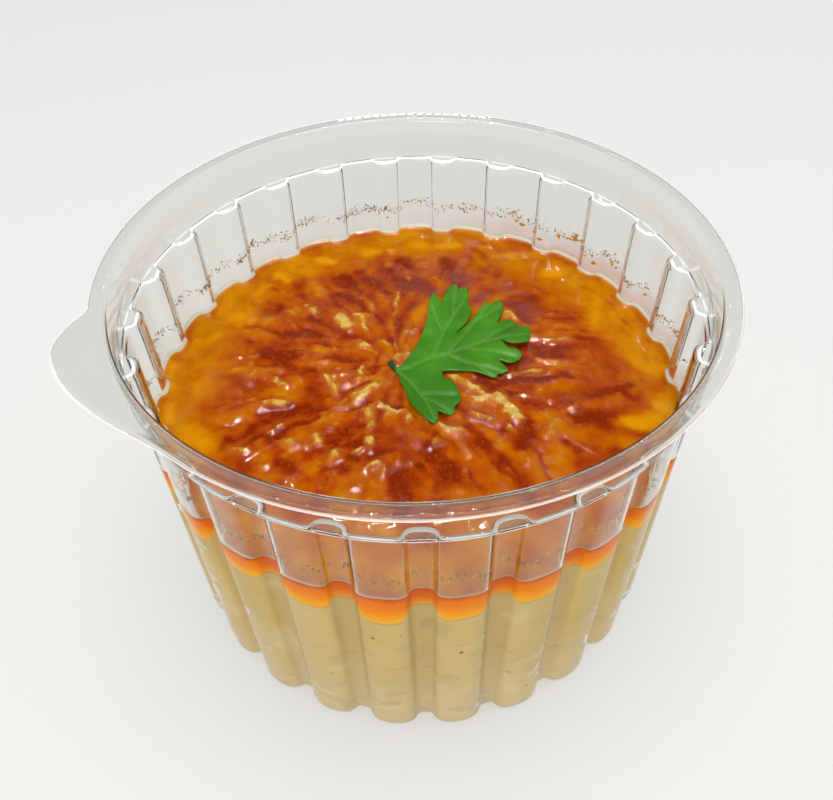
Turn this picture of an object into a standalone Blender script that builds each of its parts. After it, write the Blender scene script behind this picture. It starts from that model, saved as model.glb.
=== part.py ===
"""Hummus in a clear fluted tub: the tub, the hummus, the paprika oil on it and a parsley leaf.

Metres, +Z up. The origin is the middle of the tub's base, which stands on z = 0. Angles are measured
from +X towards +Y. A lobe of the fluted wall stands at +Y, and the flange's pull tab points to -X.
"""

import math

import bmesh
import bpy
import numpy as np

MM = 0.001

# The tub: one thermoformed sheet of clear plastic. Radii and heights are those of its outer face.
SHEET = 0.5 * MM
TUB_HEIGHT = 76.0 * MM
FLUTES = 25
SHELF_Z = 65.8 * MM  # where the fluted wall ends in a narrow shelf under the smooth band
FOOT_RADIUS = 47.75 * MM  # the flat ribs between the lobes, at the foot and at the shelf
SHELF_RADIUS = 51.7 * MM
FOOT_LOBE = 2.4 * MM  # how far a lobe stands out from the ribs beside it
SHELF_LOBE = 2.1 * MM
FOOT_WIDTH = 0.77  # a lobe's share of the flute pitch
SHELF_WIDTH = 0.70
FOOT_FILLET = 2.5 * MM
BAND_FOOT_RADIUS = 54.5 * MM
BAND_WAIST_RADIUS = 54.1 * MM  # the band is a little undercut, which holds a lid
BAND_WAIST_Z = 71.2 * MM
RIM_RADIUS = 55.4 * MM
FLANGE_RADIUS = 58.1 * MM
LIP_DROP = 0.6 * MM
LIP_REACH = 0.4 * MM

# The pull tab: a swelling of the flange, steep on one side of its tip and long on the other.
TAB_ANGLE = math.radians(-157.7)
TAB_REACH = 5.9 * MM
TAB_STEEP_SIDE = math.radians(9.3)
TAB_LONG_SIDE = math.radians(31.0)

# The filling
CLEARANCE = 0.3 * MM
OIL_LEVEL = 48.3 * MM
OIL_DEPTH_AT_RIB = 5.2 * MM
OIL_DEPTH_AT_LOBE = 7.2 * MM
HUMMUS_CROWN = 0.4 * MM  # the middle of the hummus stands this far out of the oil
HUMMUS_FALL = 6.0  # power of the fall from the crown to the wall
OIL_INNER_SHARE = 0.74  # the pool's inner edge, as a share of the filling's radius
RIDGES = ((31, 0.22 * MM, 0.4), (19, 0.16 * MM, 2.1), (43, 0.12 * MM, 4.0))  # count, height, phase

# The leaf lies flat on the ridges. Its outline is in millimetres from the tub's axis.
LEAF_THICKNESS = 0.5 * MM
LEAF_HEIGHT = OIL_LEVEL + 1.5 * MM
LEAF_STALK = ((-4.0, -2.0), (-6.0, 1.0), (-5.0, 1.5), (-4.0, 0.0))
LEAF_BACK_LOBE = ((-3.0, 0.5), (0.0, 7.0), (2.0, 13.0), (2.5, 20.0), (3.5, 22.5), (5.5, 19.5), (6.5, 23.0),
                  (8.5, 25.0), (9.5, 23.5), (11.0, 24.0), (11.5, 17.0), (10.0, 12.0), (8.0, 9.0))
LEAF_MIDDLE_LOBE = ((12.0, 14.0), (15.0, 19.0), (16.0, 18.0), (18.0, 18.5), (17.0, 12.5), (20.5, 12.5),
                    (23.5, 9.5), (22.5, 6.0), (18.0, 6.0), (21.0, 2.0), (16.5, 0.5), (18.0, -2.5),
                    (15.0, -4.0), (11.0, -2.5), (5.0, -2.0))
LEAF_FRONT_LOBE = ((5.5, -4.5), (7.0, -6.5), (8.0, -10.5), (7.0, -13.0), (4.0, -13.0), (3.0, -16.0),
                   (0.0, -13.0), (-2.5, -7.0))

# Across one flute: places from a lobe's middle, in half widths of the lobe. The last leg is the rib.
LOBE_STEPS = np.array((-1.0, -0.75, -0.25, 0.25, 0.75, 1.0))
LOBE_POWER = 2.4  # 2 would be an ellipse; more is squarer


def clear_scene():
    for old in list(bpy.data.objects):
        bpy.data.objects.remove(old)


def plastic(name, colour, roughness, transmission=0.0):
    material = bpy.data.materials.new(name)
    material.use_nodes = True
    shader = material.node_tree.nodes["Principled BSDF"]
    shader.inputs["Base Color"].default_value = (*colour, 1.0)
    shader.inputs["Roughness"].default_value = roughness
    shader.inputs["Metallic"].default_value = 0.0
    shader.inputs["Transmission Weight"].default_value = transmission
    return material


def fluted_ring(z, inset=0.0):
    """Corner points of the wall's section at height z, which may differ from point to point.

    The radius is the rib's plus the lobe's height times (1 - |t| ** power) ** 0.5 across the lobe.
    """
    rise = np.clip((z - FOOT_FILLET) / (SHELF_Z - FOOT_FILLET), 0.0, 1.0)
    steps = np.tile(LOBE_STEPS, FLUTES)
    width = FOOT_WIDTH + (SHELF_WIDTH - FOOT_WIDTH) * rise
    pitch = 2 * math.pi / FLUTES
    middle = np.repeat(math.pi / 2 + pitch * np.arange(FLUTES), len(LOBE_STEPS))
    angle = middle + steps * width * pitch / 2
    lobe = FOOT_LOBE + (SHELF_LOBE - FOOT_LOBE) * rise
    radius = FOOT_RADIUS + (SHELF_RADIUS - FOOT_RADIUS) * rise
    radius = radius + lobe * np.sqrt(1 - np.abs(steps) ** LOBE_POWER)
    points = np.stack([radius * np.cos(angle), radius * np.sin(angle)], 1)
    return shrink(points, inset)


def shrink(points, distance):
    """The closed outline moved in by a distance: each corner goes along the mean of its two edge normals."""
    along = np.roll(points, -1, 0) - points
    normal = np.stack([along[:, 1], -along[:, 0]], 1)
    normal /= np.linalg.norm(normal, axis=1)[:, None]
    mean = normal + np.roll(normal, 1, 0)
    mitre = 2 / (mean**2).sum(1)
    return points - distance * mitre[:, None] * mean


def round_ring(radius, like):
    """A ring of one radius, or of one radius for each point, at the angles of another ring."""
    return like / np.linalg.norm(like, axis=1)[:, None] * np.reshape(radius, (-1, 1))


def tab_reach(ring):
    """How far the tab carries the flange out at each point: a half cosine up, a squared one down."""
    turn = np.arctan2(ring[:, 1], ring[:, 0]) - TAB_ANGLE
    turn = (turn + math.pi) % (2 * math.pi) - math.pi
    steep = np.cos(np.clip(turn / TAB_STEEP_SIDE, -1, 0) * math.pi / 2)
    long = np.cos(np.clip(turn / TAB_LONG_SIDE, 0, 1) * math.pi / 2) ** 2
    return TAB_REACH * steep * long


def with_height(ring, z):
    return np.column_stack([ring, np.broadcast_to(z, len(ring))])


def loft(name, rings, foot=None, crown=None, loop=False):
    """A mesh of quads through rings of equal count, each ring of points anticlockwise.

    foot and crown are points that close the first and the last ring. loop joins the last ring to the first.
    """
    mesh = bpy.data.meshes.new(name)
    bm = bmesh.new()
    rows = [[bm.verts.new(point) for point in ring] for ring in rings]
    count = len(rows[0])
    pairs = list(zip(rows, rows[1:]))
    if loop:
        pairs.append((rows[-1], rows[0]))
    for low, high in pairs:
        for i in range(count):
            j = (i + 1) % count
            bm.faces.new((low[i], low[j], high[j], high[i]))
    if foot is not None:
        hub = bm.verts.new(foot)
        for i in range(count):
            bm.faces.new((hub, rows[0][(i + 1) % count], rows[0][i]))
    if crown is not None:
        hub = bm.verts.new(crown)
        for i in range(count):
            bm.faces.new((hub, rows[-1][i], rows[-1][(i + 1) % count]))
    bm.to_mesh(mesh)
    bm.free()
    mesh.shade_smooth()
    mesh.set_sharp_from_angle(angle=math.radians(40))
    return mesh


def add_part(name, data, material, collection):
    part = bpy.data.objects.new(name, data)
    part.data.materials.append(material)
    collection.objects.link(part)
    return part


def hummus_height(share, angle, at_wall):
    """Height of the hummus at a share of the filling's radius, where at_wall is its height at the wall.

    It falls from the crown as share ** HUMMUS_FALL. Spoon ridges run out from the middle and die away
    before the pool's inner edge.
    """
    crown = OIL_LEVEL + HUMMUS_CROWN
    ridge = sum(height * np.sin(count * angle + phase) for count, height, phase in RIDGES)
    fade = math.sin(math.pi * min(share / OIL_INNER_SHARE, 1.0))
    return crown - (crown - at_wall) * share**HUMMUS_FALL + ridge * fade


def build_tub(collection):
    """The sheet's outer face, from the middle of the base out and up to the lip, thickened inwards."""
    foot = fluted_ring(0.0)
    rings = []
    for turn in (0.0, math.pi / 4, math.pi / 2):
        ring = shrink(foot, FOOT_FILLET * (1 - math.sin(turn)))
        rings.append(with_height(ring, FOOT_FILLET * (1 - math.cos(turn))))
    shelf = fluted_ring(SHELF_Z)
    flange_z = TUB_HEIGHT - SHEET
    rings.append(with_height(shelf, SHELF_Z))
    rings.append(with_height(round_ring(BAND_FOOT_RADIUS, shelf), SHELF_Z))
    rings.append(with_height(round_ring(BAND_WAIST_RADIUS, shelf), BAND_WAIST_Z))
    rings.append(with_height(round_ring(RIM_RADIUS, shelf), flange_z))
    edge = FLANGE_RADIUS - SHEET + tab_reach(shelf)
    rings.append(with_height(round_ring(edge - LIP_REACH, shelf), flange_z))
    rings.append(with_height(round_ring(edge, shelf), flange_z - LIP_DROP))
    material = plastic("clear_pet", (0.9, 0.91, 0.9), 0.08, transmission=0.9)
    tub = add_part("tub", loft("tub", rings, foot=(0.0, 0.0, 0.0)), material, collection)
    sheet = tub.modifiers.new("sheet", "SOLIDIFY")
    sheet.thickness = SHEET
    sheet.offset = -1.0
    sheet.use_even_offset = True
    return tub


def filling_rings():
    """The filling's edge on the hummus, and the hummus's height there, which dips in each lobe."""
    lobe = np.sqrt(1 - np.abs(np.tile(LOBE_STEPS, FLUTES)) ** LOBE_POWER)
    depth = OIL_DEPTH_AT_RIB + (OIL_DEPTH_AT_LOBE - OIL_DEPTH_AT_RIB) * lobe
    at_wall = OIL_LEVEL - depth
    return fluted_ring(at_wall, inset=SHEET + CLEARANCE), at_wall


def top_ring(share, lift=0.0):
    """A ring on the hummus's top: the lobes fade out towards the middle. lift raises it off the hummus."""
    edge, at_wall = filling_rings()
    lobed = np.linalg.norm(edge, axis=1)
    even = lobed.mean()
    ring = round_ring(share * (even + (lobed - even) * share**8), edge)
    angle = np.arctan2(ring[:, 1], ring[:, 0])
    return with_height(ring, hummus_height(share, angle, at_wall) + lift)


def build_hummus(collection):
    """The solid body of hummus, up to its ridged top."""
    floor = SHEET + CLEARANCE
    foot = fluted_ring(0.0)
    sole = with_height(shrink(foot, FOOT_FILLET + CLEARANCE), floor)
    side = with_height(shrink(foot, SHEET + CLEARANCE), floor + FOOT_FILLET - SHEET)
    rings = [sole, side] + [top_ring(share) for share in (1.0, 0.9, OIL_INNER_SHARE, 0.55, 0.3)]
    crown = (0.0, 0.0, OIL_LEVEL + HUMMUS_CROWN)
    mesh = loft("hummus", rings, foot=(0.0, 0.0, floor), crown=crown)
    return add_part("hummus", mesh, plastic("hummus", (0.55, 0.41, 0.18), 0.6), collection)


def build_oil(collection):
    """The pool of paprika oil between the hummus and the wall, with a level top."""
    rings = [top_ring(share, lift=CLEARANCE) for share in (OIL_INNER_SHARE, 0.9)]
    edge, at_wall = filling_rings()
    rings.append(with_height(edge, at_wall + CLEARANCE))
    rings.append(with_height(fluted_ring(OIL_LEVEL, inset=SHEET + CLEARANCE), OIL_LEVEL))
    inner = rings[0].copy()
    inner[:, 2] = OIL_LEVEL
    rings.append(inner)
    mesh = loft("paprika_oil", rings, loop=True)
    return add_part("paprika_oil", mesh, plastic("paprika_oil", (0.65, 0.2, 0.01), 0.1), collection)


def build_leaf(collection):
    """One parsley leaf with a stub of stalk, lying on the ridges."""
    outline = LEAF_STALK + LEAF_BACK_LOBE + LEAF_MIDDLE_LOBE + LEAF_FRONT_LOBE
    curve = bpy.data.curves.new("parsley_leaf", "CURVE")
    curve.dimensions = "2D"
    curve.fill_mode = "BOTH"
    curve.extrude = LEAF_THICKNESS / 2
    spline = curve.splines.new("POLY")
    spline.points.add(len(outline) - 1)
    for point, (x, y) in zip(spline.points, outline):
        point.co = (x * MM, y * MM, 0.0, 1.0)
    spline.use_cyclic_u = True
    leaf = add_part("parsley_leaf", curve, plastic("parsley", (0.07, 0.26, 0.02), 0.45), collection)
    leaf.location = (0.0, 0.0, LEAF_HEIGHT)
    return leaf


clear_scene()
hummus_tub = bpy.data.collections.new("hummus_tub")
bpy.context.scene.collection.children.link(hummus_tub)
build_tub(hummus_tub)
build_hummus(hummus_tub)
build_oil(hummus_tub)
build_leaf(hummus_tub)
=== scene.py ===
"""Hummus in a clear fluted deli tub, under paprika oil, with a parsley leaf on top.

Metres, +Z up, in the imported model's frame: the middle of the tub's base is the origin, a lobe of the
fluted wall stands at +Y, and the flange's pull tab points to -X. Sizes here are in millimetres, and
become metres as a mesh is made.
"""

import math

import bpy
import numpy as np
from mathutils import Matrix, Vector
from mathutils.geometry import delaunay_2d_cdt


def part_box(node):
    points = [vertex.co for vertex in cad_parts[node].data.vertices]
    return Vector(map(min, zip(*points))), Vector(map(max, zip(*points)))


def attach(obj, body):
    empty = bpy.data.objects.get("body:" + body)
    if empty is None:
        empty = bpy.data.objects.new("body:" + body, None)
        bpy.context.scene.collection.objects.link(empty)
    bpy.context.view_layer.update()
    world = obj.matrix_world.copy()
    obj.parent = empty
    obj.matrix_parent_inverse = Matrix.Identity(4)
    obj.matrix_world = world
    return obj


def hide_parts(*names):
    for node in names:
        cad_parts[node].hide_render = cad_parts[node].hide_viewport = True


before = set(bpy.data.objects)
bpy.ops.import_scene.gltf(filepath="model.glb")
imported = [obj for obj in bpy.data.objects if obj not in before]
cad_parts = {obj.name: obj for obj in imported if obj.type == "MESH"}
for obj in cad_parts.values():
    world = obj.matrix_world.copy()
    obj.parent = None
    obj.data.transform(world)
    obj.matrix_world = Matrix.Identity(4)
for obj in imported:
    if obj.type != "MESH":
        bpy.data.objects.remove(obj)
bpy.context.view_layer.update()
MM = 0.001

# ------------------------------------------------------------------------------------------------
# The studio: a pale matt sweep in a light tent. A short strip of small bright lamps hangs over the
# tub, and draws the rows of dots along its rim and the sparkle on the wet hummus.
# ------------------------------------------------------------------------------------------------
SWEEP_SIZE = 6000.0
STRIP_LAMPS = 20
STRIP_FROM = (-95.0, 0.0, 520.0)
STRIP_TO = (95.0, 0.0, 520.0)
STRIP_LAMP_SIZE = (5.0, 200.0)
STRIP_WATTS = 0.22
CAMERA_PLACE = (0.74, -129.27, 170.36)
CAMERA_YAW = -0.0170
CAMERA_PITCH = -0.6901
CAMERA_ROLL = 0.0109
CAMERA_LENS = 37.91
CAMERA_SHIFT = (-0.0188, -0.108)


def linear(code):
    """Linear RGBA of an sRGB hex code: c / 12.92 up to 0.04045, else ((c + 0.055) / 1.055) ** 2.4."""
    parts = np.array([int(code[at : at + 2], 16) for at in (1, 3, 5)]) / 255
    parts = np.where(parts <= 0.04045, parts / 12.92, ((parts + 0.055) / 1.055) ** 2.4)
    return (*parts.tolist(), 1.0)


def new_material(name, **settings):
    """A material with its Principled shader: each setting goes to the socket of that name."""
    material = bpy.data.materials.new(name)
    material.use_nodes = True
    shader = material.node_tree.nodes["Principled BSDF"]
    for socket, value in settings.items():
        shader.inputs[socket.replace("_", " ")].default_value = value
    return material, material.node_tree, shader


def add_node(tree, kind, settings=None, links=None):
    """Adds a shader node: settings are its properties, sockets or colour stops, links join sockets to outputs."""
    node = tree.nodes.new("ShaderNode" + kind)
    for key, value in (settings or {}).items():
        if key == "stops":
            stops = node.color_ramp.elements
            stops[0].position, stops[-1].position = value[0][0], value[-1][0]
            for at, _ in value[1:-1]:
                stops.new(at)
            for stop, (_, code) in zip(stops, value):
                stop.color = linear(code)
        elif isinstance(key, str) and hasattr(node, key):
            setattr(node, key, value)
        else:
            node.inputs[key].default_value = value
    for key, output in (links or {}).items():
        tree.links.new(output, node.inputs[key])
    return node


def new_mesh(name, points, faces, material):
    """An object at the origin with its place, given in millimetres, in its mesh."""
    mesh = bpy.data.meshes.new(name)
    mesh.from_pydata((np.asarray(points, float) * MM).tolist(), [], faces)
    mesh.shade_smooth()
    mesh.materials.append(material)
    piece = bpy.data.objects.new(name, mesh)
    bpy.context.scene.collection.objects.link(piece)
    return piece


# Half of the sweep's brightness is its own, as light comes up through it, so that shadows stay faint.
sweep_paper, _, _ = new_material(
    "backlit_sweep_paper",
    Base_Color=linear("#A2A2A0"),
    Roughness=0.9,
    Emission_Color=linear("#FFFFFE"),
    Emission_Strength=0.40,
)
half = SWEEP_SIZE / 2
floor_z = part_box("tub")[0][2] / MM
corners = [(-half, -half, floor_z), (half, -half, floor_z), (half, half, floor_z), (-half, half, floor_z)]
floor = new_mesh("sweep", corners, [(0, 1, 2, 3)], sweep_paper)

# The tent has a dark gap behind the tub, where the wet top would mirror it, so that the top stays saturated.
world = bpy.data.worlds.new("light_tent")
world.use_nodes = True
sky = add_node(world.node_tree, "TexCoord").outputs["Generated"]
behind = add_node(world.node_tree, "VectorMath", {"operation": "DOT_PRODUCT", 1: (0, 0.74, 0.67)}, {0: sky})
gap = add_node(
    world.node_tree, "MapRange", {"From Min": 0.7, "From Max": 0.88}, {"Value": behind.outputs["Value"]}
)
mirrored = add_node(world.node_tree, "LightPath").outputs["Is Glossy Ray"]
dark = add_node(world.node_tree, "Math", {"operation": "MULTIPLY"}, {0: gap.outputs[0], 1: mirrored})
tent = add_node(
    world.node_tree,
    "Mix",
    {"data_type": "RGBA", 6: linear("#BCBDBD"), 7: linear("#2C2C2C")},
    {0: dark.outputs[0]},
)
world.node_tree.links.new(tent.outputs[2], world.node_tree.nodes["Background"].inputs["Color"])
bpy.context.scene.world = world


def add_lamp(name, place, aim, size, watts, colour, use):
    """An area lamp of a width and height, turned towards a place: a fill lights, a glint is only mirrored."""
    light = bpy.data.lights.new(name, "AREA")
    light.shape = "RECTANGLE"
    light.size, light.size_y = size[0] * MM, size[1] * MM
    light.energy = watts
    light.color = linear(colour)[:3]
    lamp = bpy.data.objects.new(name, light)
    lamp.location = Vector(place) * MM
    lamp.rotation_euler = (Vector(aim) - Vector(place)).to_track_quat("-Z", "Y").to_euler()
    lamp.visible_diffuse = use == "fill"
    lamp.visible_glossy = use == "glint"
    bpy.context.scene.collection.objects.link(lamp)


for number, share in enumerate(np.linspace(0, 1, STRIP_LAMPS)):
    place = np.array(STRIP_FROM) * (1 - share) + np.array(STRIP_TO) * share
    add_lamp(f"strip_{number:02d}", place, (0, 0, 50), STRIP_LAMP_SIZE, STRIP_WATTS, "#FFFFFF", "glint")
for number, across in enumerate(np.linspace(-57, 57, 18)):
    add_lamp(f"rim_{number:02d}", (across, 480, 293), (0, 50, 76), (4, 4), 0.0012, "#FFFFFF", "glint")
for number, across in enumerate(np.linspace(-130, 130, 7)):
    add_lamp(f"sparkle_{number:02d}", (across, 170, 520), (0, 0, 50), (5, 14), 0.016, "#FFFFFF", "glint")
for number, (across, up, tall) in enumerate(((124, 418, 40), (86, 390, 16), (46, 374, 20), (5, 376, 14), (197, 497, 18))):
    add_lamp(f"back_{number}", (across, 480, up), (20, 20, 50), (5, tall), 0.0005 * tall, "#FFFFFF", "glint")
add_lamp("front_box", (-150, -800, 450), (0, 0, 40), (320, 320), 3.8, "#FFFEFC", "fill")
add_lamp("side_box", (750, 150, 500), (0, 0, 40), (600, 600), 0.7, "#FFFEFC", "fill")
add_lamp("top_box", (0, 0, 1300), (0, 0, 0), (1300, 1300), 11.8, "#FFFFFF", "fill")

camera = bpy.data.objects.new("camera", bpy.data.cameras.new("camera"))
camera.data.lens = CAMERA_LENS
camera.data.shift_x, camera.data.shift_y = CAMERA_SHIFT
camera.data.clip_start = 0.01
turn = Matrix.Rotation(CAMERA_YAW, 4, "Z") @ Matrix.Rotation(CAMERA_PITCH, 4, "X")
turn = turn @ Matrix.Rotation(CAMERA_ROLL, 4, "Y") @ Matrix.Rotation(math.pi / 2, 4, "X")
camera.matrix_world = Matrix.Translation(np.array(CAMERA_PLACE) * MM) @ turn
bpy.context.scene.collection.objects.link(camera)
bpy.context.scene.camera = camera
bpy.context.scene.view_settings.view_transform = "Standard"

# ------------------------------------------------------------------------------------------------
# The tub: one sheet of clear PET, vacuum formed in a fluted mould. The flutes end in a narrow shelf,
# above which a smooth, slightly undercut band carries the flange and its pull tab.
# ------------------------------------------------------------------------------------------------
SHEET = 0.5
FLUTES = 25
FOOT_RADIUS, SHELF_RADIUS = 47.75, 51.7  # the ribs between the lobes
FOOT_LOBE, SHELF_LOBE = 2.4, 2.1
FOOT_WIDTH, SHELF_WIDTH = 0.77, 0.67  # a lobe's share of the flute pitch
FOOT_FILLET = 2.5
SHELF_Z = 65.8
SHELF_FILLET = 0.8
BAND_RADIUS, WAIST_RADIUS, RIM_RADIUS = 54.5, 54.1, 55.4
WAIST_Z = 71.2
TUB_HEIGHT = 76.0
FLANGE_RADIUS = 57.97
LIP_DROP = 0.4
TAB_ANGLE = math.radians(-157.7)
TAB_REACH = 5.9
TAB_STEEP_SIDE, TAB_LONG_SIDE = math.radians(9.3), math.radians(31.0)
LOBE_POINTS, RIB_POINTS = 19, 4
FOOT_SQUARE, SHELF_SQUARE = (0.83, 1.0), (0.5, 0.52)  # powers of a lobe's cosine and sine
FILL_LINE = 48.5
# Rows of faces that carry the painted highlight: white and faintly glowing, along the shelf's bend and the lip.
PAINTED_HIGHLIGHT_ROWS = (27, 28, 30, 31, 51)  # of the rows of faces up the tub

lobe_turn = np.linspace(0, math.pi, LOBE_POINTS)
lobe_cos = np.tile(np.append(-np.cos(lobe_turn), np.zeros(RIB_POINTS - 1)), FLUTES)
lobe_shape = np.tile(np.append(np.sin(lobe_turn), np.zeros(RIB_POINTS - 1)), FLUTES)


def contour(z, inset=0.0):
    """The fluted wall's section at height z, moved in by inset.

    A lobe is a superellipse: its points go round by an even turn, at a power of its cosine across and
    of its sine out, squarer near the shelf. Its corners are rounded by averaging neighbours twice.
    """
    rise = np.clip((z - FOOT_FILLET) / (SHELF_Z - FOOT_FILLET), 0, 1)
    rise = np.broadcast_to(rise, lobe_shape.shape)
    width = FOOT_WIDTH + (SHELF_WIDTH - FOOT_WIDTH) * rise
    pitch = 2 * math.pi / FLUTES
    rib = np.linspace(0, 1, RIB_POINTS + 1)[1:-1]
    square = [foot + (shelf - foot) * rise for foot, shelf in zip(FOOT_SQUARE, SHELF_SQUARE)]
    across = np.sign(lobe_cos) * np.abs(lobe_cos) ** square[0] * width / 2
    over_rib = np.tile(np.append(np.zeros(LOBE_POINTS), rib), FLUTES) * (1 - width)
    on_rib = np.tile(np.append(np.zeros(LOBE_POINTS), np.ones(RIB_POINTS - 1)), FLUTES) * width / 2
    middle = np.repeat(math.pi / 2 + pitch * np.arange(FLUTES), LOBE_POINTS + RIB_POINTS - 1)
    angle = middle + pitch * (across + over_rib + on_rib)
    radius = FOOT_RADIUS + (SHELF_RADIUS - FOOT_RADIUS) * rise
    radius = radius + (FOOT_LOBE + (SHELF_LOBE - FOOT_LOBE) * rise) * np.maximum(lobe_shape, 0) ** square[1]
    points = np.stack([radius * np.cos(angle), radius * np.sin(angle)], 1)
    for _ in range(2):
        points = (np.roll(points, 1, 0) + 2 * points + np.roll(points, -1, 0)) / 4
    along = np.roll(points, -1, 0) - np.roll(points, 1, 0)
    normal = np.stack([along[:, 1], -along[:, 0]], 1)
    return points - inset * normal / np.linalg.norm(normal, axis=1)[:, None]


def at_height(ring, z):
    """A ring of x and y with heights."""
    return np.column_stack([ring, np.broadcast_to(z, len(ring))])


def grown(ring, distance):
    """A ring moved straight out from the axis."""
    radius = np.linalg.norm(ring, axis=1)[:, None]
    return ring * (radius + np.reshape(distance, (-1, 1))) / radius


def round_mesh(name, rows, material, first=None, last=None):
    """Quads between rows that each run once round the axis, anticlockwise from above.

    The outside is on the right of the way from row to row. first and last are poles that close the ends.
    """
    rows = np.asarray(rows)
    number = np.arange(rows.shape[0] * rows.shape[1]).reshape(rows.shape[:2])
    low, high = number[:-1], number[1:]
    quads = np.stack([low, np.roll(low, -1, 1), np.roll(high, -1, 1), high], -1).reshape(-1, 4)
    points = rows.reshape(-1, 3)
    faces = quads.tolist()
    for pole, ring in ((first, number[0][::-1]), (last, number[-1])):
        if pole is not None:
            hub = np.full(len(ring), len(points))
            faces += np.stack([hub, ring, np.roll(ring, -1)], 1).tolist()
            points = np.vstack([points, pole])
    return new_mesh(name, points, faces, material)


def tub_rows():
    """Rows up the sheet's outer face: foot fillet, wall, shelf, band, rim fillet, flange and lip."""
    foot = contour(0)
    rows = [at_height(grown(foot, -FOOT_FILLET - back), 0) for back in (30, 12, 1)]
    for turn in np.linspace(0, math.pi / 2, 7):
        rows.append(at_height(grown(foot, -FOOT_FILLET * (1 - math.sin(turn))), FOOT_FILLET * (1 - math.cos(turn))))
    for z in (*np.linspace(FOOT_FILLET, FILL_LINE, 11)[1:], *np.linspace(FILL_LINE, SHELF_Z - SHELF_FILLET, 6)[1:]):
        rows.append(at_height(contour(z), z))
    top = rows[-1][:, :2]
    gap = BAND_RADIUS - np.linalg.norm(top, axis=1)
    fillet = np.minimum(SHELF_FILLET, 0.8 * gap)
    for turn in np.linspace(0, math.pi / 2, 6)[1:]:
        z = SHELF_Z - SHELF_FILLET + SHELF_FILLET * math.sin(turn)
        rows.append(at_height(grown(top, fillet * (1 - math.cos(turn))), z))
    rows.append(at_height(grown(top, fillet + 0.7 * (gap - fillet)), SHELF_Z))
    profile = [(BAND_RADIUS - 0.08, SHELF_Z + 0.06), (BAND_RADIUS, SHELF_Z + 0.3)]
    for share in np.linspace(0, 1, 6)[1:]:
        profile.append((BAND_RADIUS + (WAIST_RADIUS - BAND_RADIUS) * share**2, SHELF_Z + (WAIST_Z - SHELF_Z) * share))
    flange_z = TUB_HEIGHT - SHEET
    rim_fillet = 1.0
    for turn in np.linspace(0.15, math.pi / 2, 7):
        radius = RIM_RADIUS - 0.5 + rim_fillet * (1 - math.cos(turn))
        profile.append((radius, flange_z - rim_fillet * (1 - math.sin(turn))))
    for radius, z in profile:
        rows.append(at_height(top / np.linalg.norm(top, axis=1)[:, None] * radius, z))
    turn = np.arctan2(top[:, 1], top[:, 0]) - TAB_ANGLE
    turn = (turn + math.pi) % (2 * math.pi) - math.pi
    tab = np.cos(np.clip(turn / TAB_STEEP_SIDE, -1, 0) * math.pi / 2)
    tab = TAB_REACH * tab * np.cos(np.clip(turn / TAB_LONG_SIDE, 0, 1) * math.pi / 2) ** 2
    edge = top / np.linalg.norm(top, axis=1)[:, None]
    last = FLANGE_RADIUS - SHEET
    start = profile[-1][0]
    for share in (0.3, 0.6, 0.85):
        reach = start + (last + tab - LIP_DROP - start) * share
        rows.append(at_height(edge * reach[:, None], flange_z))
    for turn in np.linspace(0, math.pi / 2, 5):
        reach = last + tab - LIP_DROP * (1 - math.sin(turn))
        rows.append(at_height(edge * reach[:, None], flange_z - LIP_DROP * (1 - math.cos(turn))))
    return rows


def clear_pet(name, ior, cast):
    """Clear PET sheet, vacuum formed: smooth and glossy, with a faint grey-green cast in its thickness.

    Lamps pass through it, as it is too thin to throw more than a faint shadow.
    """
    material, tree, shader = new_material(
        name, Base_Color=linear(cast), Roughness=0.03, IOR=ior, Transmission_Weight=1.0
    )
    path = add_node(tree, "LightPath")
    lights_food = add_node(
        tree, "Math", {"operation": "MAXIMUM"}, {0: path.outputs["Is Shadow Ray"], 1: path.outputs["Is Diffuse Ray"]}
    )
    open_way = add_node(tree, "BsdfTransparent", {"Color": linear("#F3F4F3")})
    mix = add_node(tree, "MixShader", None, {0: lights_food.outputs[0]})
    tree.links.new(shader.outputs[0], mix.inputs[1])
    tree.links.new(open_way.outputs[0], mix.inputs[2])
    tree.links.new(mix.outputs[0], tree.nodes["Material Output"].inputs["Surface"])
    return material


# Where the filling wets the wall the sheet has no inner surface of its own, and hardly shines.
tub = round_mesh("clear_tub", tub_rows(), clear_pet("clear_pet_sheet", 1.36, "#EDEFEB"), first=(0, 0, 0))
tub.data.materials.append(clear_pet("wetted_pet_sheet", 1.12, "#F7F9F7"))
points = np.array([vertex.co.z for vertex in tub.data.vertices]) / MM
wetted = [max(points[list(face.vertices)]) < FILL_LINE + 0.01 for face in tub.data.polygons]
# The rows round the shelf's bend and along the lip are painted white and glow faintly: a painted highlight, where the
# lamps would draw white lines on these bends.
painted_highlight_bend, _, _ = new_material(
    "painted_highlight_pet_bend",
    Base_Color=linear("#FCFCFA"),
    Roughness=0.4,
    Alpha=0.35,
    Emission_Color=linear("#FFFAF6"),
    Emission_Strength=0.35,
)
tub.data.materials.append(painted_highlight_bend)
row_of_face = np.arange(len(tub.data.polygons)) // len(lobe_shape)
finish = np.where(np.isin(row_of_face, PAINTED_HIGHLIGHT_ROWS), 2, np.array(wetted, np.int32))
tub.data.polygons.foreach_set("material_index", finish.astype(np.int32))
sheet = tub.modifiers.new("sheet", "SOLIDIFY")
sheet.thickness = SHEET * MM
sheet.offset = -1.0
sheet.use_even_offset = True
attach(tub, "root")
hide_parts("tub")

# ------------------------------------------------------------------------------------------------
# The hummus: a pale paste of chickpeas and tahini, spooned in so that it fills every flute. A few
# shallow pockets of air stay between it and the wall.
# ------------------------------------------------------------------------------------------------
INTO_WALL = 0.08
OIL_LEVEL = 48.3
OIL_DEPTH_AT_RIB, OIL_DEPTH_AT_LOBE = 5.3, 6.7
HUMMUS_CROWN = 0.35
HUMMUS_FALL = 6.0
POCKET_DEPTH = 0.35


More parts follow.
